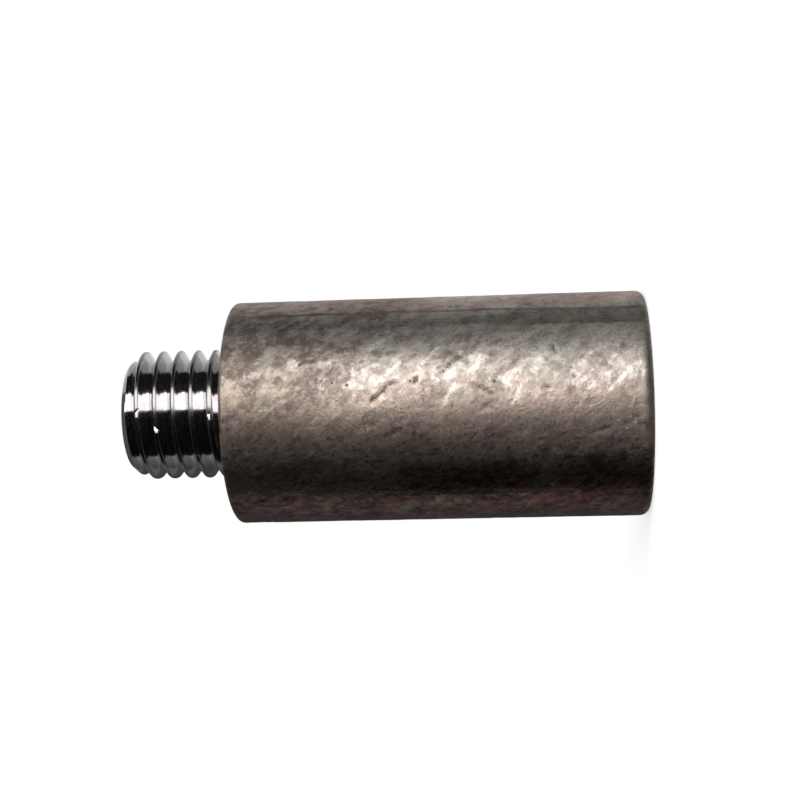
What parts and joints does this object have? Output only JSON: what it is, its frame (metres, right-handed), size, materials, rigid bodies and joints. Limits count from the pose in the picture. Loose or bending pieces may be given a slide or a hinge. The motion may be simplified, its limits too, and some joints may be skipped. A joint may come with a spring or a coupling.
{
  "type": "sacrificial anode",
  "caption": "Round zinc sacrificial anode: a plain solid body with a short coarse-threaded stud turned on one end, to screw into a plug or bracket.",
  "frame": {"origin": "centre of the flat foot, on the bar's axis, at the bottom of the bounding box", "axes": "+Z along the bar's axis, from the foot to the tip of the threaded stud; +X towards the side where the middle of the thread's first full groove stands 1.85 mm above the shoulder"},
  "size_m": [0.031, 0.031, 0.0715],
  "materials": {
    "zinc": "as-drawn zinc: warm grey, scuffed and pitted, with a bright machined stud"
  },
  "bodies": {
    "root": {"zinc_anode": "zinc"}
  },
  "joints": []
}
